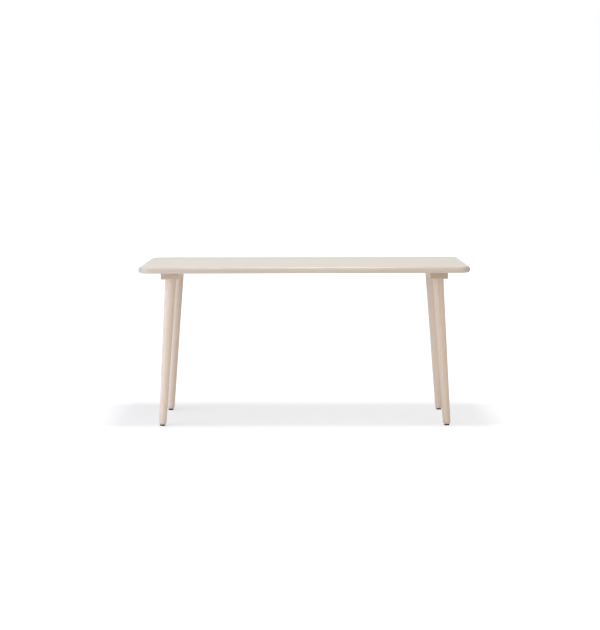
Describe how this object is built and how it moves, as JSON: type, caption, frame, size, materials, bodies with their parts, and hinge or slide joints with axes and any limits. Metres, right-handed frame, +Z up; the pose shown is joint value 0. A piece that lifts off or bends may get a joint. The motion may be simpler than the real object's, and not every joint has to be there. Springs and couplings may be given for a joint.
{
  "type": "communion table",
  "caption": "Plain pale wood communion table: rounded rectangular top on front-to-back battens with round, tapered, outward-leaning legs and black glides.",
  "frame": {"origin": "on the floor under the middle of the top", "axes": "+X to the right along the top's length, +Y to the rear, +Z up; the front faces -Y"},
  "size_m": [1.5, 0.7, 0.74],
  "materials": {
    "top_wood": "pale birch with a white-pigmented matt oil",
    "batten_wood": "pale birch with a white-pigmented matt oil, darker on the end grain",
    "leg_wood": "turned pale birch with a white-pigmented matt oil",
    "wedge_wood": "bare darker hardwood",
    "glide_plastic": "black moulded nylon",
    "steel": "bright zinc plate",
    "brass": "plain machined brass"
  },
  "bodies": {
    "root": {"top_stave_1": "top_wood", "top_stave_2": "top_wood", "top_stave_3": "top_wood", "top_stave_4": "top_wood", "top_stave_5": "top_wood", "top_stave_6": "top_wood", "top_stave_7": "top_wood", "left_batten": "batten_wood", "right_batten": "batten_wood", "front_left_leg": "leg_wood", "front_right_leg": "leg_wood", "rear_left_leg": "leg_wood", "rear_right_leg": "leg_wood", "front_left_wedge": "wedge_wood", "front_right_wedge": "wedge_wood", "rear_left_wedge": "wedge_wood", "rear_right_wedge": "wedge_wood", "front_left_glide": "glide_plastic", "front_right_glide": "glide_plastic", "rear_left_glide": "glide_plastic", "rear_right_glide": "glide_plastic", "front_left_glide_screw": "steel", "front_right_glide_screw": "steel", "rear_left_glide_screw": "steel", "rear_right_glide_screw": "steel", "left_bolt_1": "steel", "left_bolt_2": "steel", "left_bolt_3": "steel", "left_bolt_4": "steel", "left_bolt_5": "steel", "right_bolt_1": "steel", "right_bolt_2": "steel", "right_bolt_3": "steel", "right_bolt_4": "steel", "right_bolt_5": "steel", "left_washer_1": "steel", "left_washer_2": "steel", "left_washer_3": "steel", "left_washer_4": "steel", "left_washer_5": "steel", "right_washer_1": "steel", "right_washer_2": "steel", "right_washer_3": "steel", "right_washer_4": "steel", "right_washer_5": "steel", "left_insert_1": "brass", "left_insert_2": "brass", "left_insert_3": "brass", "left_insert_4": "brass", "left_insert_5": "brass", "right_insert_1": "brass", "right_insert_2": "brass", "right_insert_3": "brass", "right_insert_4": "brass", "right_insert_5": "brass"}
  },
  "joints": []
}
